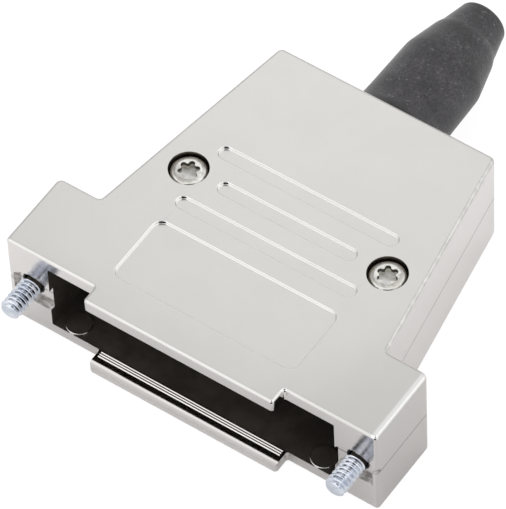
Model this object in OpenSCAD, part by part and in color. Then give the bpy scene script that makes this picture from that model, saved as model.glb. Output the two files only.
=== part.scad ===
// Straight two-part hood (backshell) for a 25-way D-subminiature connector.
// Two die-cast halves meet on a flat parting plane. They are held by two sunk
// six-lobe screws, carry a captive jack screw in each ear, and close round a
// rubber cable boot and a bridge clamp for the cable.
//
// Frame: +Z up, +Y from the mating side towards the cable. The origin lies on
// the underside, midway across, in the plane of the ears' front faces.

/* [Shell] */
// Distance between the two jack screw axes
jack_spacing = 47.04; // [46:0.01:54]
// Distance from a jack screw's axis to its ear's outer side
ear_rim = 3.16; // [3:0.01:4]
// How far the ears stand out beyond the body
ear_step = 6; // [5.4:0.1:7]
// How much the body narrows on each side towards the rear
body_taper = 5; // [2:0.1:6]
// Length from the ears' front faces to the rear face
shell_l = 42.2; // [38:0.2:60]
// Height of the closed hood
shell_h = 14.6; // [13.8:0.1:20]
// Depth of the ears, front to back
ear_l = 11.1; // [9.6:0.1:14]
// Wall thickness of the castings
wall = 1.85; // [1.3:0.05:2.2]
// Thickness of the rear wall that holds the boot
rear_wall = 2.2; // [1.5:0.1:4]
// Rounding of the outer edges
edge_r = 0.4; // [0.2:0.05:0.4]
// Radius of the upright corners at the front
corner_r = 0.45; // [0.45:0.05:1]
// Radius of the upright corners at the ears' backs and at the rear
back_r = 0.8; // [0.5:0.05:2]
// Fillet at the roots of the lips
lip_fillet = 0.9; // [0.3:0.1:1.5]
// Fillet where the ears meet the body
neck_fillet = 0.6; // [0.3:0.1:0.8]
// Width of the locating tongue on the parting plane
tongue_w = 0.7; // [0.4:0.1:1]
// Height of the locating tongue
tongue_h = 0.6; // [0.3:0.1:1.5]

/* [Mating side] */
// Distance from a jack screw's axis to the opening for the connector
open_gap = 2.87; // [2.7:0.01:3.6]
// Width of the two centre lips
lip_w = 27.3; // [20:0.1:34]
// How far the lips stand out in front of the ears
lip_l = 2.35; // [1.5:0.05:4]
// Rounding of the lower lip's upper edge
lip_round = 0.8; // [0.2:0.1:1]
// Height of the contact ridges on the lower lip
ridge_h = 0.12; // [0.05:0.01:0.18]
// Distance between the contact ridges
ridge_pitch = 0.33; // [0.3:0.01:0.36]
// Diameter of the round pads on the opening's floor
pad_d = 3.4; // [2:0.1:4]
// Height of the round pads
pad_h = 0.3; // [0.1:0.05:0.5]
// Depth of the arched seat round each jack screw
seat_depth = 0.7; // [0.3:0.05:1.2]
// Rim left between the seat and the ear's outer side
seat_rim = 0.7; // [0.4:0.05:1.2]
// Height of the seat's crown above the jack screw axis
seat_crown = 2.25; // [1.8:0.05:3]
// Rise of the seat's arch over its span
seat_rise = 1.2; // [0.6:0.05:1.8]
// Depth of the seat's flat foot below the jack screw axis
seat_foot = 2.65; // [2:0.05:3.5]
// Radius of the pry notch in the upper shell's front corners
notch_r = 0.75; // [0.4:0.05:0.9]

/* [Jack screws] */
// Major diameter of the jack screw thread
jack_d = 2.84; // [2.6:0.01:3.2]
// How far the jack screws stand out of the ears
jack_out = 4.5; // [2.5:0.1:8]
// Length over which the thread runs out into the neck
jack_runout = 0.25; // [0.1:0.05:0.5]
// Gap between the thread's end and the bottom of the seat
jack_gap = 0.4; // [0.2:0.05:1]
// Diameter of the necked shank behind the thread
jack_neck_d = 2.2; // [1.8:0.05:2.4]
// Diameter of the hole that the neck runs in
jack_hole_d = 2.8; // [2.5:0.05:2.8]
// Diameter of the jack screw's head
jack_head_d = 4.4; // [4:0.1:4.6]
// Length of the jack screw's head
jack_head_l = 4; // [2.5:0.1:5]
// Distance from the ear's back to the head's slotted end
jack_head_in = 0.6; // [0.2:0.1:1.5]
// Thickness of the ear wall that stops the head
jack_stop = 2.5; // [1.5:0.1:3]
// Radial running clearance round the head
run_gap = 0.08; // [0.03:0.01:0.1]

/* [Assembly screws] */
// Distance between the two assembly screws
screw_spacing = 28.8; // [26:0.2:30]
// Distance of the assembly screws from the ears' front faces
screw_y = 20.7; // [18:0.1:24]
// Thread diameter of the assembly screws
screw_d = 2.5; // [2:0.1:3]
// Length of the assembly screws under the head
screw_l = 9; // [8:0.5:10]
// Diameter of the assembly screws' pan heads
screw_head_d = 4.7; // [4.2:0.1:4.9]
// Height of the pan heads
screw_head_h = 1.7; // [1.3:0.1:2.2]
// Height of the pan heads' domed part
screw_dome_h = 0.5; // [0.3:0.05:0.8]
// Depth of the head's top below the top face
screw_sink = 0.3; // [0.1:0.05:0.8]
// Diameter of the counterbores
counterbore_d = 5.1; // [5:0.1:6]
// Diameter across the six-lobe recess
lobe_d = 2.8; // [2:0.1:3]
// Turn of the left screw's recess
left_turn = 42; // [0:1:60]
// Diameter of the screw bosses
boss_d = 6.6; // [6.2:0.1:7.4]
// Clearance round the screws' shanks in the upper shell
shank_gap = 0.2; // [0.1:0.05:0.4]

/* [Top face] */
// Depth of the grooves and the label recess
relief = 0.4; // [0.2:0.05:0.6]
// Width of the grooves
groove_w = 1.85; // [1:0.05:2.4]
// Distance from one groove to the next
groove_pitch = 4.5; // [3.2:0.1:5]
// Length of the two outer grooves
groove_l = 25.8; // [20:0.2:26.4]
// Length of the groove between the assembly screws
short_groove_l = 19.8; // [14:0.2:20.4]
// Distance of the front groove from the ears' front faces
groove_y = 16.1; // [15.2:0.1:18]
// Width of the label recess
label_w = 26.2; // [15:0.2:27]
// Length of the label recess
label_l = 9.9; // [5:0.1:10.4]
// Distance of the label recess from the ears' front faces
label_y = 2.7; // [1.5:0.1:4]
// Corner radius of the label recess
label_r = 1.3; // [0.5:0.1:2.5]

/* [Cable boot] */
// Diameter of the boot at the rear face
boot_d = 11.8; // [10.8:0.1:12]
// How far the boot's root flares out
boot_flare = 0.8; // [0.2:0.1:0.8]
// Length of the flare
boot_flare_l = 4.5; // [2:0.1:6]
// Diameter of the boot where its two cones meet
boot_mid_d = 11.3; // [9.5:0.1:11.6]
// Diameter of the boot at its tip
boot_tip_d = 6.3; // [5.4:0.1:8]
// Length of the wide cone
boot_wide_l = 12.2; // [6.2:0.2:18]
// Length of the narrow cone
boot_slim_l = 9.8; // [7:0.2:18]
// Distance from the wide cone to the shoulder on the narrow cone
shoulder_at = 5.2; // [2:0.1:6]
// Height of the shoulder
shoulder_h = 0.16; // [0.02:0.02:0.3]
// Rounding of the boot's tip
boot_tip_r = 0.7; // [0.2:0.1:0.8]
// Diameter of the boot's neck in the rear wall
boot_neck_d = 9; // [8:0.1:9.6]
// Diameter of the boot's inner flange
boot_flange_d = 10.2; // [9.8:0.1:10.4]
// Thickness of the boot's inner flange
boot_flange_l = 1.6; // [1:0.1:2.5]
// Bore of the boot at the flange
boot_bore_in = 6.8; // [5:0.1:7.2]
// Bore of the boot at the tip
boot_bore_out = 4.4; // [3:0.1:4.6]
// Length of the straight bore at the tip
boot_bore_l = 6; // [3:0.5:9]

/* [Cable clamp] */
// Distance from the rear face to the middle of the clamp
clamp_back = 8.3; // [7.6:0.1:10]
// Largest cable that the clamp takes
clamp_bore = 6.4; // [4:0.1:7]
// Distance between the clamp screws
clamp_pitch = 12.8; // [12:0.1:16]
// Width of the clamp bar along the cable
clamp_w = 5; // [4:0.1:6]
// Thickness of the clamp bar
clamp_t = 1.2; // [0.8:0.1:1.6]
// Distance from the parting plane down to the clamp's seats
clamp_drop = 1; // [0.6:0.1:1.6]
// Diameter of the clamp screw posts
post_d = 4.2; // [3.6:0.1:5]
// Thread diameter of the clamp screws
clamp_screw_d = 2; // [1.6:0.1:2.2]
// Length of the clamp screws under the head
clamp_screw_l = 5; // [4:0.1:5.2]
// Head diameter of the clamp screws
clamp_head_d = 3.6; // [3:0.1:3.8]
// Head height of the clamp screws
clamp_head_h = 1.3; // [1:0.1:1.6]

/* [Hidden] */

eps = 0.01;
thread_gap = 0.02;
$fn = 48;

nickel = [0.83, 0.82, 0.80];
zinc = [0.76, 0.78, 0.84];
steel = [0.80, 0.79, 0.76];
rubber = [0.16, 0.155, 0.16];

shell_w = jack_spacing + 2 * ear_rim;
neck_w = shell_w - 2 * ear_step;
rear_w = neck_w - 2 * body_taper;
open_w = jack_spacing - 2 * open_gap;
mid_z = shell_h / 2;
open_h = shell_h - 2 * wall;
jack_x = jack_spacing / 2;
screw_x = screw_spacing / 2;
seat_y = seat_depth;
stop_y = seat_y + jack_stop;
head_back = ear_l - jack_head_in;
pocket_l = ear_l - wall;
cavity_l = shell_l - rear_wall;
clamp_y = shell_l - clamp_back;
clamp_seat_z = mid_z - clamp_drop;
counterbore_z = shell_h - screw_sink - screw_head_h;

// Half width of the tapering body at a distance y from the ears' front faces
function side_x(y) = neck_w / 2 - (neck_w - rear_w) / 2 * (y - ear_l) / (shell_l - ear_l);
// Width taken up across the body by a wall of thickness t on its tapering side
side_run = norm([shell_l - ear_l, (neck_w - rear_w) / 2]) / (shell_l - ear_l);
function inner_x(y) = side_x(y) - wall * side_run;
// Points of an arc, centre c, radius r, from angle a to angle b
function arc(c, r, a, b, n = 6) = [for (i = [0:n]) c + r * [cos(a + (b - a) * i / n), sin(a + (b - a) * i / n)]];

module both_sides() {
    children();
    mirror([1, 0, 0]) children();
}

// A cylinder lying along Y at half height, from y0 to y1
module rod(d, y0, y1, d2 = undef) {
    translate([0, y0, mid_z]) rotate([-90, 0, 0])
        cylinder(d1 = d, d2 = is_undef(d2) ? d : d2, h = y1 - y0);
}

// ---- outer form of the closed hood ----

// Corners of the plan outline, anticlockwise from the left ear: x, y and corner radius
PLAN = [
    [-shell_w / 2, 0, corner_r], [-lip_w / 2, 0, lip_fillet],
    [-lip_w / 2, -lip_l, corner_r], [lip_w / 2, -lip_l, corner_r],
    [lip_w / 2, 0, lip_fillet], [shell_w / 2, 0, corner_r],
    [shell_w / 2, ear_l, back_r], [neck_w / 2, ear_l, neck_fillet],
    [rear_w / 2, shell_l, back_r], [-rear_w / 2, shell_l, back_r],
    [-neck_w / 2, ear_l, neck_fillet], [-shell_w / 2, ear_l, back_r]];

function unit(v) = v / norm(v);
function plan_xy(i) = let (c = PLAN[(i + len(PLAN)) % len(PLAN)]) [c[0], c[1]];
// The rounded corner i of the outline as pairs of a point and its outward normal
function plan_corner(i, steps = 4) =
    let (
        p = plan_xy(i),
        in_dir = unit(p - plan_xy(i - 1)),
        out_dir = unit(plan_xy(i + 1) - p),
        bulge = cross(in_dir, out_dir) > 0 ? 1 : -1,
        turn = acos(in_dir * out_dir),
        r = PLAN[i][2],
        normal = [in_dir[1], -in_dir[0]],
        centre = p - in_dir * r * tan(turn / 2) - bulge * r * normal,
        start = atan2(bulge * normal[1], bulge * normal[0])
    )
    [for (k = [0:steps]) let (a = start + bulge * turn * k / steps, u = [cos(a), sin(a)]) [centre + r * u, bulge * u]];

// The closed hood without its hollows: the outline carried up, with all edges rounded by edge_r.
// Its flat faces fan out from a point between the ears, which every part of the outline can see.
module hood_block() {
    outline = [for (i = [0:len(PLAN) - 1]) each plan_corner(i)];
    n = len(outline);
    angles = [for (a = [-90:22.5:0]) a];
    levels = concat(
        [for (a = angles) [edge_r * (1 - cos(a)), edge_r + edge_r * sin(a)]],
        [for (a = angles) [edge_r * (1 - cos(-90 - a)), shell_h - edge_r + edge_r * sin(90 + a)]]);
    last = len(levels) - 1;
    polyhedron(
        concat(
            [for (level = levels, o = outline) let (p = o[0] - level[0] * o[1]) [p[0], p[1], level[1]]],
            [for (z = [0, shell_h]) [0, ear_l / 2, z]]),
        concat(
            [for (i = [0:n - 1]) [(last + 1) * n, i, (i + 1) % n]],
            [for (i = [0:n - 1]) [(last + 1) * n + 1, last * n + (i + 1) % n, last * n + i]],
            [for (j = [0:last - 1], i = [0:n - 1])
                [j * n + i, (j + 1) * n + i, (j + 1) * n + (i + 1) % n, j * n + (i + 1) % n]]));
}

// The half of the block above the parting plane (side 1) or below it (side -1)
module half_block(side) {
    intersection() {
        hood_block();
        translate([0, 0, mid_z + side * shell_h / 2])
            cube([2 * shell_w, 4 * shell_l, shell_h], center = true);
    }
}

// ---- hollows and cuts shared by the two shells ----

module cavity() {
    front = -lip_l - 1;
    translate([0, 0, wall]) linear_extrude(open_h)
        polygon([[open_w / 2, front], [open_w / 2, pocket_l], [inner_x(pocket_l), pocket_l],
            [inner_x(cavity_l), cavity_l], [-inner_x(cavity_l), cavity_l],
            [-inner_x(pocket_l), pocket_l], [-open_w / 2, pocket_l], [-open_w / 2, front]]);
}

// The seat in an ear's front face: a flat foot, an upright outer side and an arched crown
module jack_seat() {
    inner = open_w / 2 - eps;
    outer = shell_w / 2 - seat_rim;
    half = (outer - inner) / 2;
    arch_r = (half * half + seat_rise * seat_rise) / (2 * seat_rise);
    translate([(inner + outer) / 2, -1, mid_z]) rotate([-90, 0, 0]) linear_extrude(seat_depth + 1)
        intersection() {
            translate([-half, -seat_crown]) square([2 * half, seat_crown + seat_foot]);
            translate([0, arch_r - seat_crown]) circle(r = arch_r, $fn = 96);
        }
}

module jack_bores() {
    both_sides() {
        jack_seat();
        translate([jack_x, 0, 0]) {
            rod(jack_hole_d, 0, stop_y + eps);
            rod(jack_head_d + 2 * run_gap, stop_y, ear_l + 1);
        }
    }
}

module boot_hole() {
    rod(boot_neck_d, cavity_l - 1, shell_l + 1);
}

module tongue(grow) {
    y0 = ear_l + 1;
    y1 = cavity_l - 1;
    half = tongue_w / 2 + grow;
    both_sides() translate([0, 0, mid_z - eps]) linear_extrude(tongue_h + grow + eps)
        polygon([for (p = [[y0 - grow, -half], [y0 - grow, half], [y1 + grow, half], [y1 + grow, -half]])
            [side_x(p[0]) - wall / 2 + p[1], p[0]]]);
}

// ---- relief on the top face ----

module slot2d(l, w) {
    square([l - w, w], center = true);
    for (s = [-1, 1]) translate([s * (l - w) / 2, 0]) circle(d = w);
}

module round_rect2d(w, l, r) {
    square([w - 2 * r, l], center = true);
    square([w, l - 2 * r], center = true);
    for (x = [-1, 1], y = [-1, 1]) translate([x * (w / 2 - r), y * (l / 2 - r)]) circle(r = r);
}

module top_relief() {
    translate([0, 0, shell_h - relief]) linear_extrude(relief + 1) {
        for (i = [0:2]) translate([0, groove_y + i * groove_pitch])
            slot2d(i == 1 ? short_groove_l : groove_l, groove_w);
        translate([0, label_y + label_l / 2]) round_rect2d(label_w, label_l, label_r);
    }
}

// ---- the two shells ----

module screw_bosses(z0, z1) {
    both_sides() translate([screw_x, screw_y, z0]) cylinder(d = boss_d, h = z1 - z0);
}

module upper_shell() {
    color(nickel) difference() {
        union() {
            difference() {
                half_block(1);
                cavity();
            }
            screw_bosses(mid_z, shell_h - wall + eps);
        }
        both_sides() {
            translate([screw_x, screw_y, counterbore_z]) cylinder(d = counterbore_d, h = shell_h);
            translate([screw_x, screw_y, 0]) cylinder(d = screw_d + 2 * shank_gap, h = shell_h);
            translate([shell_w / 2, 0, 0]) rod(2 * notch_r, -1, seat_depth);
        }
        jack_bores();
        boot_hole();
        tongue(0.1);
        top_relief();
    }
}

module cable_cradle() {
    // posts that carry the clamp bar, and the rib that the cable lies in
    translate([0, clamp_y, wall - eps]) {
        both_sides() translate([clamp_pitch / 2, 0, 0]) cylinder(d = post_d, h = clamp_seat_z - wall + eps);
        translate([-clamp_pitch / 2, -clamp_w / 4, 0]) cube([clamp_pitch, clamp_w / 2, clamp_seat_z - wall - 0.6]);
    }
}

// What is taken off the lower lip to round its upper front edge
module lip_rounding() {
    translate([-shell_w / 2, -lip_l, wall]) rotate([90, 0, 90]) linear_extrude(shell_w) difference() {
        translate([-1, -lip_round]) square([lip_round + 1, lip_round + 1]);
        translate([lip_round, -lip_round]) circle(r = lip_round * 1.005, $fn = 64);
    }
}

module lower_shell() {
    ridge_r = 1.6 * ridge_h;
    ridge_y = -0.15;
    color(nickel) difference() {
        union() {
            difference() {
                half_block(-1);
                cavity();
            }
            screw_bosses(wall - eps, mid_z);
            cable_cradle();
            tongue(0);
            both_sides() translate([open_w / 2 - pad_d / 2 - 1.1, pad_d / 2, wall - eps])
                cylinder(d = pad_d, h = pad_h + eps);
            for (i = [0:2]) translate([-lip_w / 2 + edge_r, ridge_y - i * ridge_pitch, wall + ridge_h - ridge_r])
                rotate([0, 90, 0]) cylinder(r = ridge_r, h = lip_w - 2 * edge_r);
        }
        lip_rounding();
        both_sides() {
            translate([screw_x, screw_y, mid_z - tapped_l]) cylinder(d = screw_d + 2 * thread_gap, h = shell_h);
            translate([clamp_pitch / 2, clamp_y, wall + 0.3])
                cylinder(d = clamp_screw_d + 2 * thread_gap, h = shell_h);
        }
        rod(clamp_bore, clamp_y - clamp_w, clamp_y + clamp_w);
        jack_bores();
        boot_hole();
    }
}
// Depth of the tapped holes below the parting plane
tapped_l = screw_l - (counterbore_z - mid_z) + 1;

// ---- screws ----

module six_lobe(d, depth) {
    lobe_r = 0.135 * d;
    translate([0, 0, -depth]) linear_extrude(depth + 1) {
        circle(d = 0.72 * d);
        for (i = [0:5]) rotate(60 * i) translate([d / 2 - lobe_r, 0]) circle(r = lobe_r);
    }
}

// Pan head screw, pointing down, with the underside of its head at z = 0
module pan_screw(d, l, head_d, head_h, dome_h) {
    rim = head_h - dome_h;
    flat = head_d * 0.3;
    rotate_extrude() polygon(concat(
        [[0, -l], [d / 2 - 0.3, -l], [d / 2, -l + 0.3], [d / 2, 0], [head_d / 2, 0]],
        [for (i = [0:6]) [flat + (head_d / 2 - flat) * cos(15 * i), rim + dome_h * sin(15 * i)]],
        [[0, head_h]]));
}

module assembly_screw(side, turn) {
    color(steel) translate([side * screw_x, screw_y, counterbore_z]) difference() {
        pan_screw(screw_d, screw_l, screw_head_d, screw_head_h, screw_dome_h);
        translate([0, 0, screw_head_h]) rotate(turn) six_lobe(lobe_d, 1.2);
    }
}

module jack_screw(side) {
    tip_chamfer = 0.35;
    chamfer = 0.3;
    slot_w = 0.8;
    slot_depth = 1.1;
    head_front = head_back - jack_head_l;
    color(zinc) translate([side * jack_x, 0, 0]) difference() {
        translate([0, 0, mid_z]) rotate([-90, 0, 0]) rotate_extrude() polygon([
            [0, -jack_out], [jack_d / 2 - tip_chamfer, -jack_out], [jack_d / 2, -jack_out + tip_chamfer],
            [jack_d / 2, seat_y - jack_gap - jack_runout], [jack_neck_d / 2, seat_y - jack_gap],
            [jack_neck_d / 2, head_front], [jack_head_d / 2 - chamfer, head_front],
            [jack_head_d / 2, head_front + chamfer], [jack_head_d / 2, head_back - chamfer],
            [jack_head_d / 2 - chamfer, head_back], [0, head_back]]);
        translate([-jack_head_d / 2 - 1, head_back - slot_depth, mid_z - slot_w / 2])
            cube([jack_head_d + 2, slot_depth + 1, slot_w]);
    }
}

// ---- cable boot and cable clamp ----

module cable_boot() {
    kink_y = shell_l + boot_wide_l;
    tip_y = kink_y + boot_slim_l;
    slope = atan2((boot_mid_d - boot_tip_d) / 2, boot_slim_l);
    tip_c = [boot_tip_d / 2 - boot_tip_r, tip_y - boot_tip_r];
    step_y = [shoulder_at - 0.3, shoulder_at + 0.3];
    step_r = [for (y = step_y) (boot_mid_d + (boot_tip_d - boot_mid_d) * y / boot_slim_l) / 2];
    color(rubber) translate([0, 0, mid_z]) rotate([-90, 0, 0]) rotate_extrude() polygon(concat(
        [[boot_bore_in / 2, cavity_l - boot_flange_l], [boot_flange_d / 2, cavity_l - boot_flange_l],
            [boot_flange_d / 2, cavity_l], [boot_neck_d / 2, cavity_l], [boot_neck_d / 2, shell_l]],
        [for (t = [0:0.25:1]) [(boot_d + (boot_mid_d - boot_d) * t * boot_flare_l / boot_wide_l) / 2
            + boot_flare * (1 - t) * (1 - t), shell_l + t * boot_flare_l]],
        [[boot_mid_d / 2, kink_y], [step_r[0] + shoulder_h / 2, kink_y + step_y[0]],
            [step_r[1] - shoulder_h / 2, kink_y + step_y[1]]],
        arc(tip_c, boot_tip_r, slope, 90),
        [[boot_bore_out / 2, tip_y], [boot_bore_out / 2, tip_y - boot_bore_l], [boot_bore_in / 2, shell_l]]));
}

module clamp_bar() {
    foot = clamp_pitch / 2 + post_d / 2;
    color(steel) difference() {
        translate([0, clamp_y + clamp_w / 2, mid_z]) rotate([90, 0, 0]) linear_extrude(clamp_w) difference() {
            union() {
                intersection() {
                    circle(d = clamp_bore + 2 * clamp_t);
                    translate([-shell_w / 2, -clamp_drop]) square([shell_w, shell_h]);
                }
                translate([-foot, -clamp_drop]) square([2 * foot, clamp_t]);
            }
            circle(d = clamp_bore);
        }
        both_sides() translate([clamp_pitch / 2, clamp_y, 0]) cylinder(d = clamp_screw_d + 0.2, h = shell_h);
    }
}

module clamp_screw(side) {
    slot_w = 0.6;
    color(steel) translate([side * clamp_pitch / 2, clamp_y, clamp_seat_z + clamp_t]) difference() {
        pan_screw(clamp_screw_d, clamp_screw_l, clamp_head_d, clamp_head_h, 0.5);
        translate([-clamp_head_d, -slot_w / 2, clamp_head_h - 0.7]) cube([2 * clamp_head_d, slot_w, 2]);
    }
}

upper_shell();
lower_shell();
assembly_screw(-1, left_turn);  // assembly_screw_left
assembly_screw(1, 0);  // assembly_screw_right
jack_screw(-1);  // jack_screw_left
jack_screw(1);  // jack_screw_right
cable_boot();
clamp_bar();
clamp_screw(-1);  // clamp_screw_left
clamp_screw(1);  // clamp_screw_right
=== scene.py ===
import math

import bmesh
import bpy
import numpy as np
from mathutils import Matrix, Vector


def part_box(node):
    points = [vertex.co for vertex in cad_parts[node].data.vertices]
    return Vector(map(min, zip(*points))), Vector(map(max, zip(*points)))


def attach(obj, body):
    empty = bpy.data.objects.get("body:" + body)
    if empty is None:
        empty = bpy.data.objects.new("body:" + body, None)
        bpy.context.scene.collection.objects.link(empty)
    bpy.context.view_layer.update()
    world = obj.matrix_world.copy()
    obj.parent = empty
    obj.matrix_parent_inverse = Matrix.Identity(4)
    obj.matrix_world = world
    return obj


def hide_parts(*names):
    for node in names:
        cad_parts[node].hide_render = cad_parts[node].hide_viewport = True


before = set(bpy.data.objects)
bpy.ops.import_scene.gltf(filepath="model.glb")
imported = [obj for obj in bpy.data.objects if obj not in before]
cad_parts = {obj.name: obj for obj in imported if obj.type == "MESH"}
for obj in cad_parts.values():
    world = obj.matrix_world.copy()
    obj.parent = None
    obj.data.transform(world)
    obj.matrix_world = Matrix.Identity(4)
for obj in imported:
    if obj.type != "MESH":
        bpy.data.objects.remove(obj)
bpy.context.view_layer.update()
MM = 0.001

# ---------------------------------------------------------------- sizes of the hood, in millimetres
shell_low, shell_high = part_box("upper_shell")
SHELL_H = shell_high.z / MM     # height of the closed hood
MID_Z = shell_low.z / MM        # parting plane, and height of the jack screws
REAR_Y = shell_high.y / MM      # outer face of the rear wall
REAR_WALL = 2.2
WALL = 1.85                     # top and bottom of the castings
EDGE_ROUND = 0.4                # outer edges of the castings

EAR_X = shell_high.x / MM       # outer sides of the ears
EAR_Y = 11.1                    # backs of the ears
NECK_X = 20.68                  # half the body's width just behind the ears
TAPER = 5.0 / (REAR_Y - EAR_Y)  # how much each side draws in per millimetre towards the rear
OPEN_X = 20.65                  # half the width of the opening
PAD_H = 0.3                     # round pads on the floor of the opening
SEAT_DEPTH = 0.7                # arched seats round the jack screws

LIP_X = 13.65                   # half the width of the lips
LIP_L = 2.35                    # how far the lips stand out
LIP_ROUND = 0.8                 # rounding of the lower lip's upper edge
LIP_FILLET = 0.9                # roots of the lips in the CAD
LIP_CORNER = 0.3                # roots of the lips as drawn here

RELIEF = 0.4                    # depth of the grooves and of the label recess
RELIEF_X = 13.3                 # half the width of the part of the top that they lie in
RELIEF_Y = (1.5, 27)            # where that part begins and ends

SCREW_X, SCREW_Y = 14.4, 20.7   # axes of the assembly screws
COUNTERBORE_R = 2.55

JACK_X = 23.52                  # axes of the jack screws
JACK_R = 1.42                   # major radius of the thread
JACK_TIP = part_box("jack_screw_left")[0].y / MM
TIP_R = JACK_R - 0.35           # flat front end of the thread
THREAD_DEPTH = 0.40
THREAD_END = 0.3
RUNOUT = 0.25                   # over which the thread runs out into the neck
PITCH = 0.635
NECK_R = 1.1                    # shank behind the thread
GAP_SHADE_R = 1.64                    # painted shade of the gap round the shank
SHADED_Y = (0.08, 4.0)          # stretch of the shank given painted shade, where it lies in the ear's shade
THREAD_ROWS = 133               # points along the thread
THREAD_COLUMNS = 73             # points round it, 5 degrees apart

BOOT_BORE_R = 3.4               # wide bore, up to the rear wall's outer face
BOOT_TIP_BORE_R, BOOT_TIP_BORE_L = 2.2, 6.0
BOOT_NECK_R = 4.5               # where the boot passes through the rear wall
BOOT_FLANGE_R, BOOT_FLANGE_L = 5.1, 1.6


# ---------------------------------------------------------------- camera
AZIMUTH, ELEVATION, ROLL = (math.radians(angle) for angle in (37.062, 53.166, -3.117))
TOWARDS_LENS = Vector((math.sin(AZIMUTH) * math.cos(ELEVATION), -math.cos(AZIMUTH) * math.cos(ELEVATION),
                       math.sin(ELEVATION)))


def set_camera():
    """A long lens that looks down on the hood's front from the right, with a slight roll."""
    level = Vector((math.cos(AZIMUTH), math.sin(AZIMUTH), 0))
    upright = TOWARDS_LENS.cross(level)
    across = math.cos(ROLL) * level + math.sin(ROLL) * upright
    up = -math.sin(ROLL) * level + math.cos(ROLL) * upright
    aim = Vector((0, 0.0201, MID_Z * MM)) - 0.0040098 * across + 0.0006971 * up
    distance = 0.72115
    data = bpy.data.cameras.new("camera")
    data.sensor_fit = "HORIZONTAL"
    data.sensor_width = 36
    data.lens = 426.05
    data.clip_start, data.clip_end = 0.05, 10
    camera = bpy.data.objects.new("camera", data)
    turn = Matrix((across, up, TOWARDS_LENS)).transposed().to_4x4()
    camera.matrix_world = Matrix.Translation(aim + distance * TOWARDS_LENS) @ turn
    bpy.context.scene.collection.objects.link(camera)
    bpy.context.scene.camera = camera


# ---------------------------------------------------------------- node trees
class Value:
    """A socket of a node tree. Operators and methods on it add Math nodes."""

    def __init__(self, tree, socket):
        self.tree, self.socket = tree, socket

    def _maths(self, operation, *values):
        return self.tree.add("ShaderNodeMath", {"operation": operation}, *values)

    def __add__(self, other):
        return self._maths("ADD", self, other)

    def __radd__(self, other):
        return self._maths("ADD", other, self)

    def __sub__(self, other):
        return self._maths("SUBTRACT", self, other)

    def __rsub__(self, other):
        return self._maths("SUBTRACT", other, self)

    def __mul__(self, other):
        return self._maths("MULTIPLY", self, other)

    def __rmul__(self, other):
        return self._maths("MULTIPLY", other, self)

    def __truediv__(self, other):
        return self._maths("DIVIDE", self, other)

    def __rtruediv__(self, other):
        return self._maths("DIVIDE", other, self)

    def lower(self, other):
        return self._maths("MINIMUM", self, other)

    def higher(self, other):
        return self._maths("MAXIMUM", self, other)

    def size(self):
        return self._maths("ABSOLUTE", self)

    def root(self):
        return self._maths("SQRT", self)

    def sine(self):
        return self._maths("SINE", self)

    def cosine(self):
        return self._maths("COSINE", self)


def used_socket(sockets, name):
    """The first socket in use that has the name, or the first of all where the name is empty."""
    return next(s for s in sockets if s.enabled and name in ("", s.name))


class Tree:
    """Adds nodes to one tree."""

    def __init__(self, tree):
        self.nodes, self.links = tree.nodes, tree.links

    def add(self, kind, settings=None, *values, out="", **named):
        """Adds a node: its settings first, then its inputs in order or by name.

        Gives the output named by out, or the node itself where out is None."""
        node = self.nodes.new(kind)
        for key, setting in (settings or {}).items():
            setattr(node, key, setting)
        for socket, value in zip(node.inputs, values):
            self.give(socket, value)
        for name, value in named.items():
            self.give(used_socket(node.inputs, name), value)
        return node if out is None else Value(self, used_socket(node.outputs, out))

    def give(self, socket, value):
        """Links a Value to an input, or sets a number, vector or colour on it."""
        if isinstance(value, Value):
            self.links.new(value.socket, socket)
        elif isinstance(value, tuple) and len(value) == 3 and len(socket.default_value) == 4:
            socket.default_value = (*value, 1)
        else:
            socket.default_value = value

    def blend(self, factor, a, b):
        """Colour a where factor is 0, colour b where it is 1."""
        return self.add("ShaderNodeMix", {"data_type": "RGBA"}, Factor=factor, A=a, B=b)

    def ramp(self, value, low, high, start=0.0, end=1.0):
        """value carried from low..high to start..end and held there beyond."""
        smooth = {"interpolation_type": "SMOOTHSTEP"}
        return self.add("ShaderNodeMapRange", smooth, value, low, high, start, end)


def shader(name):
    """A new material, its tree and its surface shader."""
    material = bpy.data.materials.new(name)
    material.use_nodes = True
    return material, Tree(material.node_tree), material.node_tree.nodes["Principled BSDF"]


def place(tree, per_mm=1.0):
    """Object coordinates in millimetres, times per_mm."""
    spot = tree.add("ShaderNodeTexCoord", out="Object")
    return tree.add("ShaderNodeVectorMath", {"operation": "MULTIPLY"}, spot, (per_mm / MM,) * 3)


def parts(tree, vector):
    """X, Y and Z of a vector."""
    node = tree.add("ShaderNodeSeparateXYZ", None, vector, out=None)
    return [Value(tree, socket) for socket in node.outputs]


def noise(tree, per_mm, detail, rough=0.5):
    """Soft noise from 0 to 1 through the piece, with per_mm lumps to the millimetre."""
    return tree.add("ShaderNodeTexNoise", {"noise_dimensions": "3D"}, Vector=place(tree, per_mm), Scale=1.0,
                    Detail=detail, Roughness=rough)


def bumpy(tree, surface, height, depth_mm):
    """Raises the surface by a height of 0 to 1 times depth_mm."""
    bump = tree.add("ShaderNodeBump", Strength=1.0, Distance=depth_mm * MM, Height=height)
    tree.give(surface.inputs["Normal"], bump)


# ---------------------------------------------------------------- layers on the nickel
BLACK, WHITE = (0, 0, 0), (1, 1, 1)
REFLECTION_WAY = (0.50, -0.866)       # the way that a relief wall faces where its painted dark reflection lies
REFLECTION_SPREAD = 0.95              # cosine of the angle to each side that the painted reflection takes up


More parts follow.
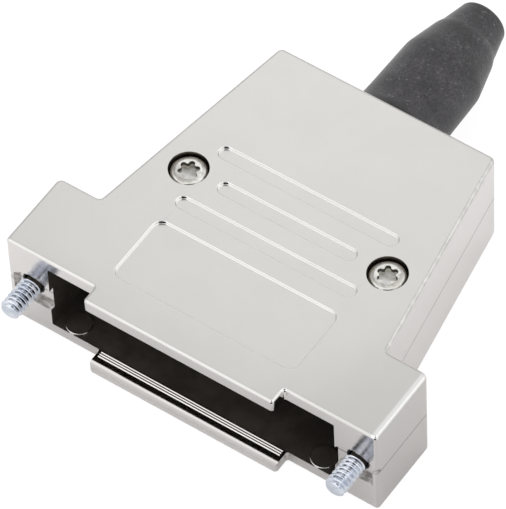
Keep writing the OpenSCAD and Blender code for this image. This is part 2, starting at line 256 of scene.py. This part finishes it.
def parting_line_and_gap_shade(tree, colour):
    """The dark line where the shells meet, and painted shade in the gaps round the jack screws."""
    x, y, z = parts(tree, place(tree))
    off = (z - MID_Z).size()
    aside = x.size() - JACK_X
    gap = tree.ramp(aside * aside + off * off, GAP_SHADE_R ** 2 - 0.2, GAP_SHADE_R ** 2 + 0.1, 1.0, 0.0)
    colour = tree.blend(tree.ramp(off, 0.04, 0.13, 0.75, 0.0), colour, (0.10, 0.09, 0.085))
    # painted shade: a near-black ring on the seat round each jack screw
    return tree.blend(gap * tree.ramp(y, 0.5, 0.6), colour, (0.012, 0.011, 0.012))


def lip_shade(tree, colour):
    """Painted shade: a darker band along the rounding of the lower lip."""
    _, y, z = parts(tree, place(tree))
    front = tree.ramp(y, LIP_ROUND - LIP_L + 0.10, LIP_ROUND - LIP_L + 0.15, 1.0, 0.0)
    band = tree.ramp(z, WALL - 0.55, WALL - 0.30) * tree.ramp(z, WALL - 0.23, WALL - 0.05, 1.0, 0.28)
    return tree.blend(front * band * 0.42, colour, (0.05, 0.05, 0.05))


def painted_right_shade(tree, x, y):
    """Painted shade that grows towards the right-hand ear."""
    return tree.ramp(x - 0.5 * y, 9.0, 21.0, 0.0, 0.10)


def painted_side_shade(tree, colour):
    """Painted shade on the upright faces, most of all at the end of the right-hand ear."""
    x, y, _ = parts(tree, place(tree))
    # painted shade on the right-hand ear's end and towards the front
    ear_end = tree.ramp(x, EAR_X - 0.48, EAR_X - 0.18, 0.0, 0.16)
    front = tree.ramp(y, 9.0, 13.0, 0.07, 0.02)
    return tree.blend(painted_right_shade(tree, x, y) + (ear_end + front), colour, BLACK)


def painted_top_shade_and_highlight(tree, colour):
    """Painted shade on the top and bottom, with a painted highlight line along the right-hand ear's edge."""
    x, y, _ = parts(tree, place(tree))
    # painted shade, darker towards the right-hand ear and towards the front
    colour = tree.blend(painted_right_shade(tree, x, y) + tree.ramp(y, -2.0, 4.0, 0.03, 0.0), colour, BLACK)
    # painted highlight: a pale line along the right-hand ear's edge
    line = tree.ramp(x, EAR_X - 0.98, EAR_X - 0.58) * tree.ramp(x, EAR_X - 0.33, EAR_X - 0.13, 0.8, 0.0)
    return tree.blend(line, colour, WHITE)


def painted_relief_light(tree, colour):
    """Paler walls in the relief on the top as a painted highlight, with a painted near-black reflection where
    they face the way set above.
    """
    _, _, z = parts(tree, place(tree))
    nx, ny, _ = parts(tree, tree.add("ShaderNodeNewGeometry", out="Normal"))
    level = (nx * nx + ny * ny).root()
    # painted dark reflection on walls that face the way set above
    dark_reflection = tree.ramp((nx * REFLECTION_WAY[0] + ny * REFLECTION_WAY[1]) - level * REFLECTION_SPREAD, -0.01, 0.01)
    # painted highlight: paler walls in the upper shell
    colour = tree.blend(tree.ramp(z, MID_Z - 1, MID_Z + 1, 0.0, 0.30), colour, WHITE)
    return tree.blend(dark_reflection * tree.ramp(level, 0.80, 0.90), colour, (0.01, 0.01, 0.01))


# ---------------------------------------------------------------- finishes
def metal(name, dull, clear, rough, grain, relief, layers=(), patches=0.16, metallic=1.0):
    """A plated surface whose tone runs from dull to clear in patches, with a grain in its gloss and relief.

    Grain and patches are counted per millimetre, and the relief is in millimetres."""
    material, tree, surface = shader(name)
    fine = noise(tree, grain, 3.0, 0.6)
    cloud = noise(tree, patches, 3.0, 0.55)
    colour = tree.blend(tree.ramp(cloud, 0.35, 0.65), dull, clear)
    for layer in layers:
        colour = layer(tree, colour)
    tree.give(surface.inputs["Base Color"], colour)
    surface.inputs["Metallic"].default_value = metallic
    tree.give(surface.inputs["Roughness"], tree.ramp(fine, 0.3, 0.7, *rough))
    bumpy(tree, surface, fine, relief)
    return material


def satin_nickel():
    return metal("satin_nickel", dull=(0.802, 0.790, 0.764), clear=(0.785, 0.776, 0.752), rough=(0.28, 0.36),
                 grain=5.0, relief=0.008, layers=(painted_top_shade_and_highlight,))


def bright_nickel():
    return metal("bright_nickel", dull=(0.850, 0.812, 0.796), clear=(0.835, 0.804, 0.792), rough=(0.12, 0.19),
                 grain=1.6, relief=0.005, layers=(parting_line_and_gap_shade, lip_shade, painted_side_shade))


def edge_nickel():
    return metal("edge_nickel", dull=(0.800, 0.790, 0.770), clear=(0.785, 0.780, 0.765), rough=(0.02, 0.05),
                 grain=1.6, relief=0.0008, layers=(painted_relief_light,))


def shaded_nickel():
    return metal("shaded_nickel", dull=(0.22, 0.195, 0.17), clear=(0.30, 0.27, 0.24), rough=(0.25, 0.35),
                 grain=2.0, relief=0.006)


def ledge_nickel():
    return metal("ledge_nickel", dull=(0.52, 0.50, 0.47), clear=(0.97, 0.96, 0.94), rough=(0.35, 0.50),
                 grain=2.0, relief=0.03, patches=1.8, metallic=0.35)


# Painted shade: darker nickel for the rounded upper edge along the right of the body.
def painted_shade_edge_nickel():
    return metal("painted_shade_edge_nickel", dull=(0.60, 0.59, 0.57), clear=(0.72, 0.71, 0.69), rough=(0.30, 0.42),
                 grain=3.0, relief=0.01, patches=1.2)


def blue_zinc():
    return metal("blue_zinc", dull=(0.58, 0.62, 0.70), clear=(0.80, 0.83, 0.89), rough=(0.10, 0.20),
                 grain=3.0, relief=0.010, patches=0.7)


def screw_nickel():
    """Plated steel, with oil and painted shade on the walls of an assembly screw's recess, and a painted
    highlight that makes the front half of its floor pale.
    """
    material, tree, surface = shader("screw_nickel")
    x, y, z = parts(tree, place(tree))
    _, _, facing_up = parts(tree, tree.add("ShaderNodeNewGeometry", out="True Normal"))
    grain, cloud = noise(tree, 3.0, 3.0, 0.6), noise(tree, 0.8, 3.0, 0.55)
    aside, ahead = x.size() - SCREW_X, y - SCREW_Y
    recess = tree.ramp(aside * aside + ahead * ahead, 2.2, 2.5, 1.0, 0.0)
    upright = tree.ramp(facing_up.size(), 0.3, 0.6, 1.0, 0.0)
    wall = recess * upright * tree.ramp(z, SHELL_H - 0.96, SHELL_H - 0.84)
    sole = recess * tree.ramp(z, SHELL_H - 1.45, SHELL_H - 1.40, 1.0, 0.0)
    colour = tree.blend(tree.ramp(cloud, 0.35, 0.65), (0.58, 0.56, 0.52), (0.80, 0.79, 0.75))
    # painted highlight: the front half of the recess floor turns near white
    colour = tree.blend(sole * tree.ramp(ahead, -0.2, 0.5, 1.0, 0.0), colour, (1, 0.99, 0.97))
    # oil and painted shade on the recess walls
    colour = tree.blend(wall, colour, (0.09, 0.08, 0.065))
    tree.give(surface.inputs["Base Color"], colour)
    tree.give(surface.inputs["Metallic"], 1 - sole * 0.8)
    tree.give(surface.inputs["Roughness"], tree.ramp(grain, 0.3, 0.7, 0.14, 0.26) + sole * 0.3)
    bumpy(tree, surface, grain, 0.014)
    return material


def painted_dark_shade():
    """Painted shade for the inside of the castings and the shank of the jack screws: brown-black and cloudy.
    """
    material, tree, surface = shader("painted_dark_shade")
    grain, cloud = noise(tree, 2.5, 3.0, 0.6), noise(tree, 0.3, 3.0, 0.6)
    colour = tree.blend(tree.ramp(cloud, 0.3, 0.7), (0.040, 0.033, 0.029), (0.068, 0.058, 0.049))
    tree.give(surface.inputs["Base Color"], colour)
    surface.inputs["Metallic"].default_value = 0.3
    tree.give(surface.inputs["Roughness"], tree.ramp(grain, 0.3, 0.7, 0.35, 0.50))
    bumpy(tree, surface, grain, 0.02)
    return material


def boot_rubber():
    """Near-black rubber, mottled, with pale dust and fibres, and painted shade where it leaves the rear wall.
    """
    material, tree, surface = shader("boot_rubber")
    _, y, _ = parts(tree, place(tree))
    grain, cloud = noise(tree, 4.0, 2.0, 0.6), noise(tree, 0.35, 4.0, 0.65)
    mottle = tree.ramp(noise(tree, 2.6, 3.0, 0.8), 0.40, 0.60, 0.0, 0.75) + tree.ramp(y, 50, 56, 0.0, 0.20)
    dust = tree.add("ShaderNodeTexVoronoi", {"feature": "F1"}, Vector=place(tree, 1.3), Scale=1.0)
    speck = tree.ramp(dust, 0.10, 0.24, 1.0, 0.0) * tree.ramp(noise(tree, 0.9, 1.0), 0.46, 0.60)
    wave = (noise(tree, 0.8, 1.0) - 0.5).size()
    fibre = tree.ramp(wave, 0.004, 0.014, 1.0, 0.0) * tree.ramp(noise(tree, 0.55, 1.0), 0.50, 0.56)
    # painted shade close to the rear wall
    root = tree.ramp(y, REAR_Y + 0.5, REAR_Y + 1.5, 0.8, 0.0)
    pale = (0.35, 0.34, 0.34)
    colour = tree.blend(tree.ramp(cloud, 0.3, 0.7), (0.031, 0.028, 0.033), (0.064, 0.059, 0.066))
    colour = tree.blend(mottle, colour, (0.02, 0.02, 0.02))
    colour = tree.blend(speck * 0.20, colour, pale)
    colour = tree.blend(fibre * 0.16, colour, pale)
    colour = tree.blend(root, colour, (0.006, 0.006, 0.006))
    tree.give(surface.inputs["Base Color"], colour)
    tree.give(surface.inputs["Roughness"], tree.ramp(grain, 0.3, 0.7, 0.62, 0.78))
    surface.inputs["Sheen Weight"].default_value = 0.42
    surface.inputs["Sheen Roughness"].default_value = 0.4
    bumpy(tree, surface, grain, 0.03)
    return material


FINISH = {make.__name__: make() for make in (
    satin_nickel, bright_nickel, edge_nickel, shaded_nickel, ledge_nickel, painted_shade_edge_nickel, painted_dark_shade,
    screw_nickel, blue_zinc, boot_rubber)}


# ---------------------------------------------------------------- pieces
def add_piece(name, mesh, body, node):
    """Puts a mesh in the scene as the piece that stands for a CAD node."""
    piece = bpy.data.objects.new(name, mesh)
    bpy.context.scene.collection.objects.link(piece)
    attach(piece, body)
    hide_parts(node)
    return piece


def plate(node, finish):
    """Gives a CAD node that is shown as it is its finish."""
    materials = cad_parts[node].data.materials
    materials.clear()
    materials.append(FINISH[finish])


def solid_copy(node):
    """The CAD piece as one joined mesh, its flat faces whole again."""
    bm = bmesh.new()
    bm.from_mesh(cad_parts[node].data)
    bmesh.ops.remove_doubles(bm, verts=bm.verts, dist=2e-6)
    bmesh.ops.dissolve_limit(bm, angle_limit=math.radians(1.0), verts=bm.verts, edges=bm.edges)
    return bm


def corner_sharper_than(edge, degrees):
    return len(edge.link_faces) == 2 and edge.calc_face_angle(0) > math.radians(degrees)


# ---------------------------------------------------------------- which finish a shell's face has
def in_counterbore(c, n):
    reach = math.hypot(abs(c.x) - SCREW_X, c.y - SCREW_Y)
    return c.z > MID_Z + 1 and abs(n.z) < 0.5 and reach < COUNTERBORE_R + 0.15


def on_relief_wall(c, n):
    over_relief = abs(c.x) < RELIEF_X and RELIEF_Y[0] < c.y < RELIEF_Y[1]
    return over_relief and SHELL_H - RELIEF < c.z < SHELL_H - 0.01 and abs(n.z) < 0.5


def on_right_upper_edge(c, n):
    behind_ear = c.z > SHELL_H - 0.8 and c.x > 14 and c.y > EAR_Y + 0.3
    return behind_ear and n.x > 0.15 and n.y > -0.1 and 0.1 < n.z < 0.985


def on_front_upper_corner(c, n):
    return c.z > SHELL_H - 0.42 and c.y < 0.45 and n.x > 0.1 and n.y < -0.1 and n.z > 0.1


def on_jack_ledge(c, n):
    in_seat = OPEN_X + 0.1 < abs(c.x) < EAR_X - 0.38 and 0.02 < c.y < SEAT_DEPTH - 0.02
    return in_seat and abs(c.z - MID_Z) < 3.2 and abs(n.y) < 0.5


def on_pad_wall(c, n):
    return 0.5 < c.y < 12 and WALL + 0.02 < c.z < WALL + PAD_H - 0.01 and abs(n.z) < 0.9


def on_lower_lip(c, n):
    return c.y < 0.02 and 0.9 < c.z < WALL + 0.2 and n.z > 0.05


def on_lip_top(c, n):
    return on_lower_lip(c, n) and n.z >= 0.99


def inside(c, n):
    side = OPEN_X if c.y < EAR_Y - WALL + 0.1 else NECK_X - TAPER * (c.y - EAR_Y) - WALL + 0.1
    between_floors = WALL - 0.02 < c.z < SHELL_H - WALL + 0.02
    return between_floors and abs(c.x) < side + 0.005 and 0.02 < c.y < REAR_Y - 1


def on_top_or_bottom(c, n):
    return abs(n.z) > 0.5


# Where each finish goes. The first place that a face is in holds, and what is in none is bright.
PLACES = (
    (in_counterbore, "shaded_nickel"),
    (on_relief_wall, "edge_nickel"),
    (on_right_upper_edge, "painted_shade_edge_nickel"),
    (on_front_upper_corner, "edge_nickel"),
    (on_jack_ledge, "ledge_nickel"),
    (on_pad_wall, "edge_nickel"),
    (on_lip_top, "edge_nickel"),
    (on_lower_lip, "bright_nickel"),
    (inside, "painted_dark_shade"),
    (on_top_or_bottom, "satin_nickel"),
)
SHELL_FINISHES = ("satin_nickel", "bright_nickel", "painted_dark_shade", "edge_nickel", "shaded_nickel",
                  "ledge_nickel", "painted_shade_edge_nickel")
EASED = SHELL_FINISHES.index("edge_nickel")


def finish_of(face):
    """The index of the finish that a shell's face has, from its middle and the way it faces."""
    c, n = face.calc_center_median() / MM, face.normal
    finish = next((finish for within, finish in PLACES if within(c, n)), "bright_nickel")
    return SHELL_FINISHES.index(finish)


# ---------------------------------------------------------------- shells
def crisp_lips(bm):
    """Draws the fillets at the lips' roots tighter, on the tangents they have."""
    shrink, near = LIP_FILLET - LIP_CORNER, 0.02
    cx, cy = LIP_X + LIP_FILLET, -LIP_FILLET
    for v in bm.verts:
        x, y, z = v.co / MM
        out = math.hypot(abs(x) - cx, y - cy)
        on_fillet = abs(out - LIP_FILLET) < near
        by_edge = z < EDGE_ROUND + 0.01 or z > SHELL_H - EDGE_ROUND - 0.01
        on_edge = by_edge and LIP_FILLET - near < out < LIP_FILLET + EDGE_ROUND + near
        if abs(x) < cx + 0.01 and y > cy - 0.01 and (on_fillet or on_edge):
            x = math.copysign(cx - shrink + (abs(x) - cx) * (out - shrink) / out, x)
            y = cy + shrink + (y - cy) * (out - shrink) / out
            v.co = (x * MM, y * MM, z * MM)


def part_floors(bm):
    """Cuts the inner floor and ceiling at the mouth, so that the lips there stay plated, out of the painted
    shade of the inside.
    """
    floors = {f for f in bm.faces
              if abs(f.normal.z) > 0.9 and WALL - 0.1 < f.calc_center_median().z / MM < SHELL_H - WALL + 0.1}
    parts_of_floors = [v for v in bm.verts if floors.intersection(v.link_faces)]
    parts_of_floors += [e for e in bm.edges if floors.intersection(e.link_faces)]
    parts_of_floors += [f for f in bm.faces if f in floors]
    bmesh.ops.bisect_plane(bm, geom=parts_of_floors, plane_co=(0, 0.01 * MM, 0), plane_no=(0, 1, 0))


def at_counterbore(e):
    """Whether an edge lies on the counterbore of an assembly screw."""
    c = (e.verts[0].co + e.verts[1].co) / (2 * MM)
    return math.hypot(abs(c.x) - SCREW_X, c.y - SCREW_Y) < COUNTERBORE_R + 0.35


def ease_rims(bm):
    """Rounds the rims of the top, of the relief's floor and of the pads. Gives the faces that this makes."""
    for level, easing in ((SHELL_H, 0.13), (SHELL_H - RELIEF, 0.10), (WALL + PAD_H, 0.10)):
        rim = [e for e in bm.edges if all(abs(v.co.z / MM - level) < 0.005 for v in e.verts)
               and corner_sharper_than(e, 60) and not at_counterbore(e)]
        bmesh.ops.bevel(bm, geom=rim, offset=easing * MM, segments=4, profile=0.5, affect="EDGES",
                        clamp_overlap=False, material=EASED)
    return {f for f in bm.faces if f.material_index == EASED}


def weigh_edges(bm, eased):
    """Sets the bevel's share on each sharp edge: none beside an eased rim, and less at a counterbore."""
    weight = bm.edges.layers.float.new("bevel_weight_edge")
    for e in bm.edges:
        if corner_sharper_than(e, 33) and not eased & set(e.link_faces):
            e[weight] = 0.35 if at_counterbore(e) else 0.6


def finished_shell(node, name):
    """A shell with crisp lips, eased rims, bevelled edges and a finish for each face."""
    bm = solid_copy(node)
    crisp_lips(bm)
    part_floors(bm)
    eased = ease_rims(bm)
    weigh_edges(bm, eased)
    for f in bm.faces:
        f.material_index = EASED if f in eased else finish_of(f)
        f.smooth = True
    mesh = bpy.data.meshes.new(name)
    bm.to_mesh(mesh)
    bm.free()
    for finish in SHELL_FINISHES:
        mesh.materials.append(FINISH[finish])
    shell = add_piece(name, mesh, "hood", node)
    bevel = shell.modifiers.new("eased_edges", "BEVEL")
    bevel.limit_method = "WEIGHT"
    bevel.width = 0.12 * MM
    bevel.segments = 3
    bevel.harden_normals = True
    bevel.use_clamp_overlap = True
    weighted = shell.modifiers.new("even_shading", "WEIGHTED_NORMAL")
    weighted.keep_sharp = True


# ---------------------------------------------------------------- jack screws
THREAD_INPUTS = {
    "NodeSocketFloat": ("Major Radius", "Thread Depth", "Pitch", "Start", "End", "Tip Radius", "Neck Radius",
                        "Runout"),
    "NodeSocketInt": ("Rows", "Columns"),
    "NodeSocketMaterial": ("Material",),
}


def thread_tree():
    """Geometry Nodes: a threaded end along Y, its rows of points running round with the helix."""
    group = bpy.data.node_groups.new("thread", "GeometryNodeTree")
    socket = {name: group.interface.new_socket(name, in_out="INPUT", socket_type=kind)
              for kind, names in THREAD_INPUTS.items() for name in names}
    group.interface.new_socket("Geometry", in_out="OUTPUT", socket_type="NodeSocketGeometry")
    tree = Tree(group)
    given = tree.add("NodeGroupInput", out=None)
    size = {name: Value(tree, given.outputs[name]) for name in socket}
    pitch, start, end = size["Pitch"], size["Start"], size["End"]

    # A flat unit grid, whose X becomes the way along the screw and whose Y becomes one turn round it
    grid = tree.add("GeometryNodeMeshGrid", None, 1.0, 1.0, size["Rows"], size["Columns"])
    grid_x, grid_y, _ = parts(tree, tree.add("GeometryNodeInputPosition"))
    turn = grid_y + 0.5
    run = (grid_x + 0.5) * (end - start + 3 * pitch)
    y = start - 2 * pitch + run + turn * pitch
    wave = 0.5 - 0.5 * (run * (2 * math.pi) / pitch).cosine()
    profile = size["Major Radius"] - size["Thread Depth"] * wave

    # The cones of the tip and of the runout, each closed to the axis past its end
    ahead, behind = y - start, end - y
    close = 2.0 / pitch
    tip = size["Tip Radius"] + ahead.higher(0.0) + ahead.lower(0.0) * size["Tip Radius"] * close
    slope = (size["Major Radius"] - size["Neck Radius"]) / size["Runout"]
    neck = size["Neck Radius"] + behind.higher(0.0) * slope + behind.lower(0.0) * size["Neck Radius"] * close
    radius = profile.lower(tip).lower(neck).higher(0.0)
    angle = turn * (2 * math.pi)
    placed = tree.add("ShaderNodeCombineXYZ", None, radius * angle.sine(), y.higher(start).lower(end),
                      radius * angle.cosine())

    shaped = tree.add("GeometryNodeSetPosition", Geometry=grid, Position=placed)
    welded = tree.add("GeometryNodeMergeByDistance", Geometry=shaped, Distance=0.000001)
    solid = tree.add("GeometryNodeRealizeInstances", Geometry=welded)
    dressed = tree.add("GeometryNodeSetMaterial", Geometry=solid, Material=size["Material"])
    tree.add("NodeGroupOutput", out=None, Geometry=dressed)
    return group, socket


def baked(name, group, socket, values):
    """The tree's result as a plain mesh."""
    maker = bpy.data.objects.new(name, bpy.data.meshes.new(name))
    bpy.context.scene.collection.objects.link(maker)
    nodes = maker.modifiers.new("maker", "NODES")
    nodes.node_group = group
    for key, value in values.items():
        nodes[socket[key].identifier] = value
    mesh = bpy.data.meshes.new_from_object(maker.evaluated_get(bpy.context.evaluated_depsgraph_get()))
    maker.modifiers.remove(nodes)
    bpy.data.objects.remove(maker)
    return mesh


def thread_mesh(group, socket, side):
    """The threaded end on the jack screw's axis, to the left (-1) or to the right (1)."""
    thread = baked("thread", group, socket, {
        "Major Radius": JACK_R * MM, "Thread Depth": THREAD_DEPTH * MM, "Pitch": PITCH * MM,
        "Start": JACK_TIP * MM, "End": THREAD_END * MM, "Tip Radius": TIP_R * MM, "Neck Radius": NECK_R * MM,
        "Runout": RUNOUT * MM, "Rows": THREAD_ROWS, "Columns": THREAD_COLUMNS,
        "Material": FINISH["blue_zinc"]})
    bm = bmesh.new()
    bm.from_mesh(thread)
    bmesh.ops.recalc_face_normals(bm, faces=bm.faces)
    bmesh.ops.translate(bm, verts=bm.verts, vec=(side * JACK_X * MM, 0, MID_Z * MM))
    bm.to_mesh(thread)
    bm.free()
    return thread


def jack_screw(node, side, group, socket):
    """The CAD screw's shank and head, with a thread in front in place of its plain cylinder."""
    bm = solid_copy(node)
    whole = bm.verts[:] + bm.edges[:] + bm.faces[:]
    cut = bmesh.ops.bisect_plane(bm, geom=whole, dist=1e-7, clear_inner=True, plane_no=(0, 1, 0),
                                 plane_co=(0, (THREAD_END + 0.001) * MM, 0))
    bmesh.ops.holes_fill(bm, edges=[e for e in cut["geom_cut"] if isinstance(e, bmesh.types.BMEdge)])
    bm.from_mesh(thread_mesh(group, socket, side))
    for f in bm.faces:
        f.smooth = True
        # painted shade: the shank just behind the thread takes the dark finish
        in_shade = SHADED_Y[0] < f.calc_center_median().y / MM < SHADED_Y[1]
        f.material_index = 1 if in_shade else 0
    for e in bm.edges:
        if corner_sharper_than(e, 38):
            e.smooth = False
    mesh = bpy.data.meshes.new(node + "_threaded")
    bm.to_mesh(mesh)
    bm.free()
    mesh.materials.append(FINISH["blue_zinc"])
    mesh.materials.append(FINISH["painted_dark_shade"])
    add_piece(node + "_threaded", mesh, node, node)


# ---------------------------------------------------------------- cable boot
def lathe(name, profile, steps, bend):
    """A closed profile of (y, radius) turned about the hood's axis, each ring set aside by bend(y), in mm."""
    bm = bmesh.new()
    rings = []
    for y, radius in profile:
        angles = [2 * math.pi * k / steps for k in range(steps)]
        rings.append([bm.verts.new(((bend(y) + radius * math.sin(a)) * MM, y * MM,
                                    (MID_Z + radius * math.cos(a)) * MM)) for a in angles])
    for ring, after in zip(rings, rings[1:] + rings[:1]):
        for k in range(steps):
            j = (k + 1) % steps
            bm.faces.new((ring[k], after[k], after[j], ring[j]))
    bmesh.ops.recalc_face_normals(bm, faces=bm.faces)
    for f in bm.faces:
        f.smooth = True
    for e in bm.edges:
        if corner_sharper_than(e, 40):
            e.smooth = False
    mesh = bpy.data.meshes.new(name)
    bm.to_mesh(mesh)
    bm.free()
    return mesh


def cable_boot():
    """The rubber boot: flared root, wide cone, narrow cone with a low shoulder, and a slight lean."""
    kink, tip = REAR_Y + 12.2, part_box("cable_boot")[1].y / MM
    inner = REAR_Y - REAR_WALL
    root = REAR_Y + 0.001
    flare, flare_l = 0.8, 4.5
    tip_round = 0.7
    line = np.array([(REAR_Y, 5.90), (kink, 5.65), (kink + 4.9, 4.48), (kink + 5.5, 4.15), (tip, 3.15)])

    def outer(y):
        """Outside radius: the line with its corners evened out, and the flare."""
        near = [np.interp(y + d, line[:, 0], line[:, 1]) for d in np.linspace(-0.35, 0.35, 9)]
        share = min(1.0, (y - REAR_Y) / flare_l)
        return float(np.mean(near)) + flare * (1 - share) ** 2

    def bend(y):
        """How far the boot leans to the left."""
        return -0.27 * min(1.0, max(0.0, (y - REAR_Y - 0.3) / 3.5)) - 0.15 * max(0.0, (y - kink) / 10.0)

    last = tip - tip_round
    profile = [(inner - BOOT_FLANGE_L, BOOT_BORE_R), (inner - BOOT_FLANGE_L, BOOT_FLANGE_R),
               (inner, BOOT_FLANGE_R), (inner, BOOT_NECK_R), (root, BOOT_NECK_R)]
    profile += [(root, outer(REAR_Y) - 0.22), (REAR_Y + 0.06, outer(REAR_Y) - 0.08),
                (REAR_Y + 0.22, outer(REAR_Y + 0.22))]
    profile += [(float(y), outer(y)) for y in np.linspace(REAR_Y + 0.5, last, 60)]
    profile += [(last + tip_round * math.sin(a), outer(last) - tip_round * (1 - math.cos(a)))
                for a in np.linspace(0.2, math.pi / 2, 7)]
    profile += [(tip, BOOT_TIP_BORE_R), (tip - BOOT_TIP_BORE_L, BOOT_TIP_BORE_R), (REAR_Y, BOOT_BORE_R)]

    mesh = lathe("cable_boot_moulded", profile, 144, bend)
    mesh.materials.append(FINISH["boot_rubber"])
    add_piece("cable_boot_moulded", mesh, "hood", "cable_boot")


def make_pieces():
    finished_shell("upper_shell", "upper_shell_finished")
    finished_shell("lower_shell", "lower_shell_finished")
    group, socket = thread_tree()
    for name, side in (("left", -1), ("right", 1)):
        plate(f"assembly_screw_{name}", "screw_nickel")
        plate(f"clamp_screw_{name}", "screw_nickel")
        jack_screw(f"jack_screw_{name}", side, group, socket)
    plate("clamp_bar", "screw_nickel")
    cable_boot()


# ---------------------------------------------------------------- studio
# Soft patches of the tent: way from the hood, outer and inner half-angle in degrees, and strength
PATCHES = (
    ((-0.10, -0.65, 0.72), 66, 30, 0.63),    # softbox in front
    ((0.25, 0.48, 0.84), 33, 17, 0.55),      # over the rear
    ((0.78, -0.15, 0.60), 40, 18, 0.45),     # to the right
    ((0.74, 0.52, 0.42), 30, 15, 0.50),      # low, to the right and behind
    ((-0.36, 0.48, 0.80), 45, 20, -0.22),    # a flag that dims the tops
)


def white_tent():
    """The world: a tent that metal reflects, soft even light for the rest, and white behind all."""
    world = bpy.data.worlds.new("studio")
    bpy.context.scene.world = world
    world.use_nodes = True
    tree = Tree(world.node_tree)
    way = tree.add("ShaderNodeTexCoord", out="Generated")

    def patch(direction, outer, inner):
        """1 within the inner angle round a direction, and 0 past the outer one."""
        toward = tree.add("ShaderNodeVectorMath", {"operation": "DOT_PRODUCT"}, way,
                          tuple(Vector(direction).normalized()), out="Value")
        return tree.ramp(toward, math.cos(math.radians(outer)), math.cos(math.radians(inner)))

    _, _, height = parts(tree, way)
    tent = tree.ramp(height, -0.1, 0.45, 0.56, 0.61)
    for direction, outer, inner, strength in PATCHES:
        tent = tent + patch(direction, outer, inner) * strength
    tent = tent * (1 - patch(TOWARDS_LENS, 24, 18) * 0.97)
    is_camera = tree.add("ShaderNodeLightPath", out="Is Camera Ray")
    is_glossy = tree.add("ShaderNodeLightPath", out="Is Glossy Ray")
    level = is_camera + (1 - is_camera) * (is_glossy * tent + (1 - is_glossy) * 1.17)
    background = world.node_tree.nodes["Background"]
    tree.give(background.inputs["Color"], WHITE)
    tree.give(background.inputs["Strength"], level)


def pale_floor():
    """A matt floor that shows near white and keeps the hood's shadow."""
    bpy.ops.mesh.primitive_plane_add(size=3.0, location=(0, 0.02, -0.00002))
    floor = bpy.context.object
    floor.name = "floor"
    material, tree, surface = shader("pale_floor")
    surface.inputs["Base Color"].default_value = (0.82, 0.82, 0.82, 1)
    surface.inputs["Roughness"].default_value = 0.9
    surface.inputs["Specular IOR Level"].default_value = 0.0
    is_camera = tree.add("ShaderNodeLightPath", out="Is Camera Ray")
    glow = tree.add("ShaderNodeEmission", Color=WHITE, Strength=1.12)
    mixed = tree.add("ShaderNodeMixShader", None, is_camera * 0.80, Value(tree, surface.outputs[0]), glow)
    tree.give(material.node_tree.nodes["Material Output"].inputs["Surface"], mixed)
    floor.data.materials.append(material)


def rear_softbox():
    """A weak round lamp behind the hood on the left."""
    spot, aim = Vector((-0.215, 0.310, 0.415)), Vector((0, 0.02, 0.01))
    data = bpy.data.lights.new("rear_softbox", "AREA")
    data.shape = "DISK"
    data.size = 0.22
    data.energy = 0.085
    light = bpy.data.objects.new("rear_softbox", data)
    light.location = spot
    light.rotation_euler = (aim - spot).to_track_quat("-Z", "Y").to_euler()
    bpy.context.scene.collection.objects.link(light)


set_camera()
make_pieces()
white_tent()
pale_floor()
rear_softbox()
bpy.context.scene.view_settings.view_transform = "Standard"
